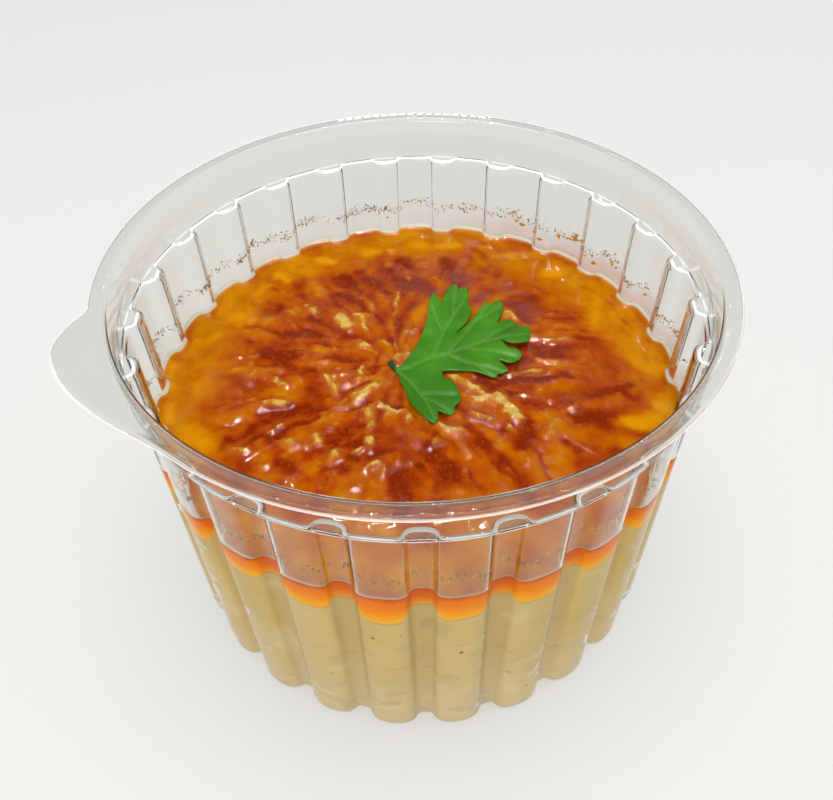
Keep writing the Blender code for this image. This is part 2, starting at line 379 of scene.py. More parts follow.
def value_noise(u, v, seed, wrap=64):
    """Smooth noise from -1 to 1: random values on a lattice, blended by 3t^2 - 2t^3. v repeats after wrap."""
    lattice = np.random.default_rng(seed).uniform(-1, 1, (64, wrap))
    row, column = np.floor(u).astype(int), np.floor(v).astype(int)
    down, right = u - row, v - column
    down, right = down**2 * (3 - 2 * down), right**2 * (3 - 2 * right)
    corner = [
        lattice[(row + step) % 64, (column + side) % wrap] for step, side in ((0, 0), (1, 0), (0, 1), (1, 1))
    ]
    left = corner[0] * (1 - down) + corner[1] * down
    return left * (1 - right) + (corner[2] * (1 - down) + corner[3] * down) * right


def smooth_step(low, high, value):
    """0 below low, 1 above high, 3t^2 - 2t^3 between."""
    share = np.clip((value - low) / (high - low), 0, 1)
    return share**2 * (3 - 2 * share)


edge_ring = contour(OIL_LEVEL, SHEET - INTO_WALL)
edge_angle = np.arctan2(edge_ring[:, 1], edge_ring[:, 0])
# The oil has run deepest into the two lobes at -Y, and a little unevenly into the others.
deepest = 1.3 * np.exp(-((((edge_angle + math.pi / 2 + math.pi) % (2 * math.pi) - math.pi) / 0.3) ** 2))
uneven = value_noise(edge_angle * 0 + 3.3, (edge_angle / math.pi + 1) * 12.5, 5, 25)
contact_depth = OIL_DEPTH_AT_RIB + (OIL_DEPTH_AT_LOBE - OIL_DEPTH_AT_RIB + deepest + 0.8 * uneven) * lobe_shape**1.3
contact_depth += 0.35 * value_noise(edge_angle * 0 + 3.3, (edge_angle / math.pi + 1) * 24, 6, 48)
contact_z = OIL_LEVEL - contact_depth


def dome(share):
    """Height of the hummus under its ridges: from the crown down to the wall as share ** fall."""
    crown = OIL_LEVEL + HUMMUS_CROWN
    return crown - (crown - contact_z) * share**HUMMUS_FALL


def top_ring(share):
    """The filling's outline drawn in to a share of its size: the lobes fade as share ** 8."""
    lobed = np.linalg.norm(edge_ring, axis=1)
    radius = share * (lobed.mean() + (lobed - lobed.mean()) * share**8)
    return edge_ring / lobed[:, None] * radius[:, None]


def chickpea_paste():
    """Blended chickpeas and tahini: a soft, dense paste that looks matt cream, a little glassy at depth."""
    material, tree, shader = new_material(
        "chickpea_paste", Roughness=0.42, IOR=1.45, Specular_IOR_Level=0.02, Subsurface_Weight=0.15, Subsurface_Scale=0.0015
    )
    shader.inputs["Subsurface Radius"].default_value = (1.0, 0.7, 0.35)
    place = add_node(tree, "TexCoord").outputs["Object"]
    cloud = add_node(tree, "TexNoise", {"Scale": 60.0, "Detail": 3.0}, {"Vector": place})
    tone = add_node(tree, "ValToRGB", {"stops": ((0.3, "#BFA362"), (0.7, "#CDB37A"))}, {0: cloud.outputs[0]})
    grit = add_node(tree, "TexNoise", {"Scale": 700.0, "Detail": 1.0}, {"Vector": place})
    speck = add_node(tree, "MapRange", {"From Min": 0.74, "From Max": 0.80}, {"Value": grit.outputs[0]})
    specked = add_node(
        tree, "Mix", {"data_type": "RGBA", 7: linear("#6A5526")}, {0: speck.outputs[0], 6: tone.outputs[0]}
    )
    # Painted shade: the paste is darker on the ribs, in the creases between the lobes.
    rib = add_node(tree, "Attribute", {"attribute_name": "rib"}).outputs["Fac"]
    rib_shaded = add_node(
        tree, "Mix", {"data_type": "RGBA", 7: linear("#BCA067")}, {0: rib, 6: specked.outputs[2]}
    )
    height = add_node(tree, "SeparateXYZ", None, {0: place}).outputs["Z"]
    low = add_node(tree, "MapRange", {"From Min": 0.026, "From Max": 0.004, "To Max": 0.55}, {"Value": height})
    paler = add_node(
        tree, "Mix", {"data_type": "RGBA", 7: linear("#D2BC98")}, {0: low.outputs[0], 6: rib_shaded.outputs[2]}
    )
    smear = add_node(tree, "Attribute", {"attribute_name": "smear"}).outputs["Fac"]
    smeared = add_node(
        tree, "Mix", {"data_type": "RGBA", 7: linear("#DCC8A0")}, {0: smear, 6: paler.outputs[2]}
    )
    tree.links.new(smeared.outputs[2], shader.inputs["Base Color"])
    return material


# Pockets of air between the paste and the wall: angle in degrees, height, half width, half height, tilt.
POCKETS = [
    (-112.5, 10.5, 2.2, 1.1, -0.4), (-97.5, 9.5, 2.1, 1.3, 0.5), (-83, 6.5, 1.6, 0.9, -0.9), (-80, 12, 1.3, 0.8, 0.2),
    (-67, 15, 1.2, 2.2, 0.3), (-52, 13, 0.9, 2.6, 0.5), (-126, 17, 0.8, 1.6, 0.4), (-54, 24, 0.6, 1.2, 0.2),
]
pocket_draw = np.random.default_rng(14)
for lobe in range(17):
    POCKETS.append((14.4 * lobe - 35 + pocket_draw.uniform(-2, 2), *pocket_draw.uniform((5, 0.8, 0.8, -1), (24, 2.2, 2.0, 1))))


def pockets_at(angle, z):
    """How deep each place lies in a pocket, and how near it is to a pocket's pale lower lip.

    A pocket is an ellipse that is turned by its tilt: its depth is 1 inside and falls to 0 at its edge.
    """
    dent, lip = np.zeros(angle.shape), np.zeros(angle.shape)
    for middle, height, wide, high, tilt in POCKETS:
        along = (angle - math.radians(middle) + math.pi) % (2 * math.pi) - math.pi
        along, up = along * FOOT_RADIUS, z - height
        right, over = along * math.cos(tilt) + up * math.sin(tilt), up * math.cos(tilt) - along * math.sin(tilt)
        away = np.hypot(right / wide, over / high)
        dent = np.maximum(dent, smooth_step(1.0, 0.8, away))
        lip = np.maximum(lip, np.exp(-(((away - 1) / 0.16) ** 2)) * smooth_step(0.5, -0.4, over / high))
    return dent, lip


def hummus_rows():
    """Rows from the sole out, up the wall and in over the top, and maps of its pale smears and its ribs."""
    foot = contour(0, SHEET - INTO_WALL)
    rows = [at_height(grown(foot, -FOOT_FILLET - 1), SHEET - INTO_WALL)]
    for turn in np.linspace(0, math.pi / 2, 6):
        rise = (FOOT_FILLET - SHEET) * (1 - math.cos(turn))
        rows.append(at_height(grown(foot, -FOOT_FILLET * (1 - math.sin(turn))), SHEET - INTO_WALL + rise))
    smears = [np.zeros(len(foot))] * len(rows)
    for share in np.linspace(0, 1, 100)[1:]:
        z = FOOT_FILLET + (contact_z - FOOT_FILLET) * share
        ring = contour(z, SHEET - INTO_WALL)
        angle = np.arctan2(ring[:, 1], ring[:, 0])
        dent, lip = pockets_at(angle, z)
        dent = np.maximum(dent, 0.5 * smooth_step(0.5, 0.8, value_noise((angle / math.pi + 1) * 50, z / 1.6, 13, 100)))
        rows.append(at_height(grown(ring, -POCKET_DEPTH * dent), z))
        wisp = value_noise((angle / math.pi + 1) * 30, z / 9.0, 11, 60) * value_noise(angle * 9, z / 4.0, 12)
        smears.append(np.clip(0.7 * lip + 0.3 * smooth_step(0.2, 0.5, wisp), 0, 1))
    for share in (0.96, 0.88, 0.7, 0.4, 0.15):
        rows.append(at_height(top_ring(share), dome(share) - 0.5))
        smears.append(np.zeros(len(foot)))
    ribs = np.tile(smooth_step(0.45, 0.0, lobe_shape), (len(rows), 1))
    return rows, np.array(smears), ribs


def add_map(piece, name, values):
    """Stores one number for each point of a mesh."""
    piece.data.attributes.new(name, "FLOAT", "POINT").data.foreach_set("value", np.ravel(values).astype(np.float32))


paste_rows, paste_smears, paste_ribs = hummus_rows()
hummus = round_mesh(
    "hummus_paste",
    paste_rows,
    chickpea_paste(),
    first=(0, 0, SHEET - INTO_WALL),
    last=(0, 0, OIL_LEVEL + HUMMUS_CROWN - 0.5),
)
add_map(hummus, "smear", np.append(paste_smears, (0, 0)))
add_map(hummus, "rib", np.append(paste_ribs, (0, 0)))
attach(hummus, "root")
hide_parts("hummus")

# ------------------------------------------------------------------------------------------------
# The paprika oil: it floods the hummus, deep and amber along the wall, and red-brown with settled
# paprika in the grooves that a fork left. Ridges and lumps of paste stand out of it.
# ------------------------------------------------------------------------------------------------
FAN = (-3.7, 1.3)  # the grooves fan out from here
RIDGE_HEIGHT = 0.42
POOL_LEVEL = -1.1  # the open oil, against OIL_LEVEL
MENISCUS_RISE, MENISCUS_REACH = 1.3, 0.9
TOP_ROWS = 152
RIM_ROWS = 22

# Grooves and hollows where paprika has gathered, and two painted shadows drawn the same way: the leaf's shadow from
# 12.3, -3.5 and a shadow line from -27, -17.2. From x, y to x, y, half width, strength.
GROOVES_AND_SHADOWS = (
    (-28, 30.5, -25.5, 24.5, 2.4, 1.0), (-35.5, 22, -30, 20, 1.6, 0.6), (-33, 24, -29, 21, 1.5, 0.55),
    (-13, 33, -8.5, 27.5, 2.4, 0.9), (-8, 35.5, -5.5, 30, 1.9, 0.75), (-16.5, 33, -12.5, 25, 0.8, 1.0),
    (-18.5, 31, -15.5, 28, 1.4, 0.75), (-18.5, 24.8, -14.5, 22.5, 1.3, 0.9), (-14, 22.5, -8, 15.5, 1.3, 1.05),
    (-24, 27, -21.5, 22, 0.7, 0.75), (-10, 24.5, -6.8, 15, 1.1, 0.85), (-7.2, 25.2, -6.4, 24.2, 0.8, 1.0),
    (-3.6, 38.5, -2, 35, 1.2, 0.8), (-3, 27.5, 3, 25.5, 2.0, 1.0), (-1.5, 20, -5.5, 9, 1.0, 0.75),
    (-37, 15.5, -28, 11.5, 0.8, 0.8), (-28, 11.3, -13, 9.5, 1.7, 0.8), (-30, 8.8, -20, 8, 1.5, 0.8),
    (-30.3, 5.5, -26.5, 4.3, 2.0, 1.2), (-32.5, 2.4, -22, 0.8, 0.6, 0.9), (-42, 3, -34, 1.5, 0.8, 0.45),
    (-18, 4.5, -12, 2, 1.5, 0.75), (-16, 6.8, -8, 9.5, 1.2, 0.55), (-36, 10.5, -32, 9.3, 0.7, 0.55),
    (-23, 17, -17, 12, 0.9, 0.7), (-23.2, 41.8, -22.5, 41.2, 0.8, 0.5), (-38, 22.7, -37.3, 22.2, 0.5, 0.6),
    (-33, 28.2, -32.4, 27.8, 0.4, 0.8), (-20, 28, -17, 20, 0.7, 0.6), (1, 28.5, 3.5, 24, 1.5, 1.1),
    (6.2, 38.5, 9, 32, 1.1, 0.85), (9, 36, 10.5, 29, 1.9, 0.6), (12.5, 41, 12.4, 36, 0.8, 0.8),
    (13.5, 42.8, 16.5, 40, 1.3, 1.0), (13.5, 47.3, 16.3, 44.8, 1.2, 0.85), (18, 43.5, 20.5, 41, 0.8, 0.5),
    (19.4, 34.5, 19, 30.5, 1.0, 0.45), (8.3, 29.3, 10.3, 25.8, 1.2, 0.85), (13, 22.5, 22, 27, 1.8, 0.8),
    (17, 24, 25, 22, 2.0, 0.75), (19.3, 20.6, 22.8, 18.3, 1.5, 1.2), (22, 16.5, 25.2, 11, 1.6, 0.85),
    (26.5, 15, 37, 15, 0.5, 0.55), (27, 11, 40.5, 11.6, 0.55, 0.55), (34, 8.5, 41, 7.5, 1.2, 0.5),
    (22, 5.5, 31, 2.5, 1.7, 1.0), (18, -0.5, 22.5, 1.7, 1.4, 1.25), (26.5, 27, 29.5, 24.5, 0.45, 0.5),
    (35.5, 31.5, 36.5, 27.5, 0.35, 0.5), (36.5, 27.5, 40, 25, 0.35, 0.5), (40, 25, 42.7, 20.5, 0.35, 0.55),
    (42.7, 20.5, 43.7, 16, 0.35, 0.5), (43.7, 16, 46.7, 12.3, 0.35, 0.5), (48.3, 9.3, 47, 5, 0.35, 0.55),
    (47, 5, 48, 1.5, 0.35, 0.5), (27, 38.5, 27.6, 37.5, 0.5, 0.5), (14, -5.6, 22, -4.6, 1.0, 1.05),
    (22, -4.6, 30.5, -2.6, 1.0, 1.15), (12.3, -3.5, 15, -6.8, 1.2, 1.0), (18, -7.2, 22, -6.6, 0.8, 0.9),
    (34, -8.2, 43.5, -4.5, 1.0, 1.15), (40.5, -7, 42, -9, 1.3, 1.2), (21, -11, 34, -8, 2.4, 0.6),
    (30, -14, 43, -11.3, 1.9, 0.85), (33, -14, 41.8, -18, 1.4, 1.1), (27, -20, 29.3, -22, 1.2, 0.85),
    (29, -25, 36.5, -21.8, 1.7, 0.9), (21, -14, 18.5, -22, 1.4, 0.9), (20.3, -21.5, 23.2, -28.5, 0.4, 1.0),
    (9.5, -16.5, 15.5, -25.5, 1.3, 0.95), (15.5, -25.5, 19, -31.5, 0.4, 0.8), (2, -21.5, 5.2, -28.5, 2.1, 1.2),
    (0, -25, 3.5, -30, 1.1, 0.7), (9, -28, 12.5, -33, 0.5, 0.6), (-1, -34.5, 4.5, -33.5, 1.4, 1.0),
    (8, -13.5, 16, -18.5, 1.2, 0.75), (6, -10, 9, -13.5, 0.9, 0.8), (1, -16, 7, -22, 1.2, 0.7),
    (-30.5, -11.6, -18, -10.3, 1.7, 1.0), (-37, -18.7, -29, -13.2, 1.2, 0.9), (-31.8, -18.8, -27, -16.3, 0.9, 0.95),
    (-27, -17.2, -19, -13, 0.8, 1.15), (-39.5, -13.5, -32.5, -13.4, 0.7, 0.5), (-40.5, -20, -31, -24.8, 1.9, 0.8),
    (-22, 0, -20, -8, 1.7, 0.75), (-19.5, -9.6, -15, -7, 1.2, 0.85), (-14.2, -6.8, -10.2, -3.3, 0.4, 1.25),
    (-17.2, -12.6, -9, -9.3, 0.65, 0.85), (-10.5, -14, -16, -19.7, 1.5, 0.9), (-28, -19, -26, -21.5, 1.0, 0.7),
    (-21, -22.2, -12, -19.6, 1.0, 0.8), (-25.3, -24, -21.5, -25.5, 1.3, 0.75), (-21, -27.6, -14, -25.3, 1.2, 0.85),
    (-12, -23.2, -5, -21.8, 0.8, 0.6), (-4, -28, -2, -34, 2.3, 1.0), (-44, 2, -37, -1, 1.4, 0.4),
    (-41, -2, -39.5, -10, 2.2, 0.4), (-5.3, -10, -3, -11.3, 0.4, 1.0), (-9, -1, -8, 4, 0.6, 0.7),
    (-8, -17, -3, -19.5, 1.5, 0.55),
)
# Lumps and ridges of paste: from x, y to x, y, half width, how bare they are.
LUMPS = (
    (-16.8, 15.8, -15, 13.5, 1.9, 1.1), (-11.8, 16, -10.8, 12.3, 0.9, 0.85), (-13.5, 16.8, -11.5, 16.8, 0.7, 0.9),
    (-27.8, 18.8, -27, 18, 1.0, 0.75), (-24.2, 20.8, -22, 18.3, 1.4, 0.85), (-26.5, 23, -25.3, 21.3, 0.9, 0.7),
    (-27.2, 14.8, -24.3, 11, 1.0, 0.7), (-13.2, 23.6, -9.8, 20.4, 1.2, 0.6), (-17, 26.8, -13.5, 27.1, 0.8, 0.5),
    (-4.4, 24, -4.9, 13, 0.8, 0.7), (-12.6, 8.6, -10.4, 6.3, 1.0, 1.0), (-17.3, 5.9, -16.8, 5.5, 0.6, 0.7),
    (-25.8, 5.7, -24.2, 5, 0.9, 0.7), (-21.4, 2.2, -19.8, 0.3, 1.0, 0.75), (-34.2, 2.5, -33.5, -2, 1.5, 0.6),
    (-18.4, 9.5, -18, 9, 0.7, 0.6), (-32.2, 16.8, -31, 15.8, 1.1, 0.5), (-34.8, 15.8, -34, 15.2, 0.6, 0.6),
    (-2.1, 30.6, -1.7, 29.4, 0.7, 0.7), (-2.5, 10, -0.5, 11, 0.8, 0.6), (-5.5, 9, -5, 6, 0.7, 0.6),
    (-7, 8, -6.5, 7, 0.5, 0.7), (-4, 3, -1.5, 3.5, 1.0, 0.8), (19.2, 16.6, 20.7, 14, 1.1, 0.85),
    (24.5, 7.6, 31.5, 7, 0.8, 0.75), (24, 1.6, 28, 1, 1.0, 0.8), (4, 29.5, 5, 27.5, 0.8, 0.6),
    (7.3, -3.3, 12.5, -7.5, 1.3, 1.05), (11, -10, 15.8, -9.2, 1.6, 1.1), (16.6, -10.5, 18.4, -14.2, 1.5, 1.2),
    (9.7, -13.6, 13.3, -15.6, 1.3, 1.0), (4, -15.6, 7.4, -18, 1.2, 0.95), (17, -16.6, 16, -19, 0.8, 0.75),
    (2, -21.5, 3.8, -19, 1.0, 0.85), (8, -21, 9, -23.6, 0.7, 0.8), (8.4, -27.2, 8.8, -28, 0.7, 0.7),
    (18, -3, 24, -1.8, 1.0, 0.75), (28.3, -12, 32.7, -10, 1.2, 0.6), (26, -15.5, 24, -19.3, 1.6, 0.6),
    (19.3, -8.6, 19.7, -8.2, 0.8, 0.7), (33, -18, 38, -20, 1.0, 0.45), (19.5, -24.5, 19.7, -26, 0.6, 0.6),
    (-29.8, -8.6, -25.7, -9, 0.95, 1.0), (-28.2, -2.2, -26.2, -4, 1.0, 0.85), (-35.5, -5.5, -31.5, -8, 1.9, 0.45),
    (-18, -1.6, -16.4, -7, 0.95, 0.85), (-11, 0.3, -12, -3, 0.8, 0.9), (-15.8, -5.3, -14, -3.8, 0.9, 0.5),
    (-8.7, -5.2, -11.6, -8, 1.4, 0.95), (-6.8, -10.6, -3.6, -12.4, 0.9, 0.95), (-10, -12.3, -9, -15, 1.2, 0.95),
    (-2.2, -12.6, -1.5, -14, 0.9, 0.8), (-14.2, -8.6, -16, -12, 0.85, 0.75), (-28, -16.3, -26.2, -14.6, 1.0, 0.8),
    (-35, -19.6, -32.5, -20.5, 1.0, 0.8), (-24.2, -19, -23.8, -19.8, 1.15, 1.0), (-18.9, -18, -18.6, -19, 1.15, 1.0),
    (-21.3, -20.3, -20.3, -20, 0.9, 0.6), (-16.3, -16, -16, -16.3, 0.6, 0.8), (-15.6, -21.9, -15.3, -22.8, 1.1, 1.05),
    (-9.3, -19.8, -9.1, -20.5, 1.05, 1.1), (-11.8, -21.6, -11, -21, 0.5, 0.8), (-10, -26, -7.6, -25.1, 1.0, 0.9),
    (-6.2, -26, -5.8, -27.5, 0.7, 0.6), (-1.9, -24.7, -1.5, -25.3, 0.6, 0.8), (-12, -29.9, -10.8, -29.5, 0.7, 0.6),
    (-30, -24.5, -26.7, -23, 1.4, 0.4), (-23.8, -27.3, -22.8, -28, 1.1, 0.5), (-18.7, -23.8, -18, -24.2, 0.9, 0.5),
    (-4.6, -7.4, -4.2, -8, 1.4, 0.3),
)
# Shallows in the clear oil along the wall, where paste shines through it yellow.
SHALLOWS = (
    (-21.8, 39, -19.5, 38.5, 1.2, 1.0), (-31.5, 33.5, -30, 32, 1.5, 1.0), (-12.2, 42, -10.5, 42.5, 1.4, 0.9),
    (-6.6, 43, -6, 42, 0.9, 0.9), (0.5, 45, 1.5, 44.5, 1.2, 0.8), (6.5, 44, 9.5, 44.5, 1.5, 0.9),
    (30.3, 32.8, 33, 32.2, 1.4, 1.0), (40, 23, 38, 13, 1.6, 0.45), (40, -15, 45.3, -14, 1.6, 0.9),
    (47, -10, 48.5, -13, 1.5, 0.7), (-50.5, 3, -50, -2, 1.5, 0.8), (-48.5, -8, -47.5, -12, 1.6, 0.8),
    (-44, -15, -41, -18, 1.8, 0.5), (-39, 18.5, -36, 17.5, 1.6, 0.6), (-44, 12, -42.5, 13.5, 1.0, 0.5),
    (22, 39.5, 23.5, 38.5, 0.9, 0.6), (44, 3, 49, -1, 1.8, 0.5), (-34, 30, -36, 27, 1.2, 0.5),
)

# Still oil, in low swells that mirror the lamps behind as thin streaks.
SWELLS = (
    (31.5, 28, 30, 16, 1.0, 1.0), (22.5, 34, 22.5, 28, 0.8, 0.8), (12.5, 41, 12.5, 33, 0.8, 0.8),
    (1.5, 39, 1.5, 33, 0.8, 0.8), (42.8, 4, 41.8, -3, 0.9, 1.0),
)

share = np.append(np.linspace(0, 0.94, TOP_ROWS - RIM_ROWS)[1:], np.linspace(0.94, 1, RIM_ROWS + 1)[1:])
flat = np.stack([top_ring(one) for one in share])
east, north = flat[..., 0] - FAN[0], flat[..., 1] - FAN[1]
reach = np.hypot(east, north)
bearing = (np.arctan2(north, east) / math.pi + 1) / 2


def fan_noise(length, count, seed, sway=0.012):
    """Noise along the fan: cells of a length outwards and a count around, swaying a little sideways."""
    drift = sway * value_noise(reach / 7.0, bearing * 12, seed + 50, 12)
    return value_noise(reach / length, (bearing + drift) * count % count, seed, count)


def flat_noise(size, seed):
    """Noise of one size both ways."""
    return value_noise(flat[..., 0] / size + 31, flat[..., 1] / size + 31, seed)


warp_x = 0.75 * flat_noise(2.6, 26) + 0.35 * flat_noise(1.1, 36)
warp_y = 0.75 * flat_noise(2.6, 27) + 0.35 * flat_noise(1.1, 37)


def strokes(places, blur=1.0):
    """The strongest of several soft strokes: strength times exp(-(distance / half width)^2).

    Distance is from the straight line between a stroke's ends, and wavers by the warp.
    """
    strongest = np.zeros(reach.shape)
    x, y = flat[..., 0] + blur * warp_x, flat[..., 1] + blur * warp_y
    for x0, y0, x1, y1, width, strength in places:
        along = ((x - x0) * (x1 - x0) + (y - y0) * (y1 - y0)) / max((x1 - x0) ** 2 + (y1 - y0) ** 2, 1e-6)
        along = np.clip(along, 0, 1)
        off = (x - x0 - along * (x1 - x0)) ** 2 + (y - y0 - along * (y1 - y0)) ** 2
        strongest = np.maximum(strongest, strength * np.exp(-off / width**2))
    return strongest


def random_strokes(count, seed, nearest, farthest, longest, widths, strengths):
    """Strokes drawn out along the fan, at places spread evenly between two distances from its middle."""
    draw = np.random.default_rng(seed)
    turn = draw.uniform(0, 2 * math.pi, count)
    start = np.sqrt(draw.uniform(nearest**2, farthest**2, count))
    end = start + draw.uniform(0, longest, count)
    places = [FAN[0] + start * np.cos(turn), FAN[1] + start * np.sin(turn)]
    places += [FAN[0] + end * np.cos(turn), FAN[1] + end * np.sin(turn)]
    return np.stack([*places, draw.uniform(*widths, count), draw.uniform(*strengths, count)], 1)


share_grid = share[:, None] * np.ones(flat.shape[1])
from_wall = (1 - share_grid) * np.linalg.norm(edge_ring, axis=1)[None, :]
open_pool = smooth_step(0.72, 0.86, share_grid + 0.03 * flat_noise(7.0, 29) + 0.03 * fan_noise(9, 30, 32))
groove_and_shadow = strokes(GROOVES_AND_SHADOWS)
scratch = strokes(random_strokes(130, 33, 4, 38, 9, (0.25, 0.6), (0.3, 0.9)), 0.6)
lump = strokes(LUMPS, 0.8)
shallow = strokes(SHALLOWS)
swell = strokes(SWELLS, 0.2)
calm = 1 - 0.85 * strokes([(*place, 3.2, 1.0) for *place, _, _ in SWELLS], 0)
crumb = strokes(random_strokes(260, 31, 3, 36, 1.5, (0.3, 0.75), (0.5, 1.0)), 0.5)
ridge = 0.6 * fan_noise(9, 44, 21) + 0.4 * fan_noise(6, 80, 22) * smooth_step(6, 14, reach) + 0.3 * fan_noise(4, 140, 23) * smooth_step(14, 24, reach)

base = np.stack([dome(one) for one in share]) - OIL_LEVEL
relief = RIDGE_HEIGHT * ridge + 0.13 * flat_noise(1.4, 24) + 0.2 * flat_noise(5.0, 25) + 0.11 * flat_noise(0.85, 46)
relief = relief * (1 - 0.7 * open_pool) * calm - 0.5 * groove_and_shadow * calm - 0.2 * scratch + 0.3 * crumb
hummus_top = base + relief + 0.82 * np.minimum(lump, 1) ** 1.3 * (1 - 0.4 * open_pool) + 0.5 * shallow
film = 0.05


def smooth_maximum(one, other, blend):
    """The greater of two heights, rounded where they cross: (a + b + sqrt((a - b)^2 + blend^2)) / 2."""
    return (one + other + np.sqrt((one - other) ** 2 + blend**2)) / 2


settled = smooth_maximum(base - 0.15 + 0.05 * flat_noise(4.0, 38), POOL_LEVEL, 0.3)
waves = 0.02 * flat_noise(3.0, 39) + 0.03 * fan_noise(9, 40, 40)
oil_top = smooth_maximum(hummus_top + film, settled + waves * calm, 0.1) + 0.06 * swell
meniscus = np.exp(-from_wall / MENISCUS_REACH)
oil_top = oil_top + (POOL_LEVEL + MENISCUS_RISE - oil_top[-1]) * meniscus
depth = np.maximum(oil_top - hummus_top, 0)

paprika = 0.45 + 0.26 * fan_noise(8, 52, 28) + 0.12 * flat_noise(3.0, 34) + 0.1 * smooth_step(0.1, 0.7, depth) - 0.18 * ridge
paprika = paprika * (1 - open_pool) + (
    0.2 + 0.14 * flat_noise(4.0, 30) + 0.08 * flat_noise(1.6, 47) + 0.14 * fan_noise(10, 46, 35)
) * open_pool
# Grooves darken with settled paprika; the two shadow strokes among them darken as painted shadow.
paprika = paprika + 0.5 * groove_and_shadow * (1 + 0.35 * flat_noise(1.7, 42)) + 0.3 * scratch * (1 - 0.6 * open_pool) - 0.25 * crumb - 0.2 * shallow
edge_line = np.exp(-(((from_wall - 1.5) / 0.45) ** 2)) * (0.7 + 0.5 * flat_noise(4.0, 43))
paprika = np.clip(paprika + 0.2 * edge_line, 0, 1.1)
bare = lump * (0.92 + 0.35 * flat_noise(1.3, 44)) + 0.4 * smooth_step(0.5, 0.9, crumb) - 0.5 * groove_and_shadow
bare = smooth_step(0.12, 1.15, bare)
bare = bare * (1 - 0.7 * open_pool)
amber = np.clip(shallow + 0.35 * open_pool * smooth_step(0.1, 0.7, flat_noise(3.6, 41)), 0, 1)
# Painted light: next to the wall the top is painted pale, for the bright wall and tent seen through the thin oil there.
pale = smooth_step(0.42, 0.62, meniscus)


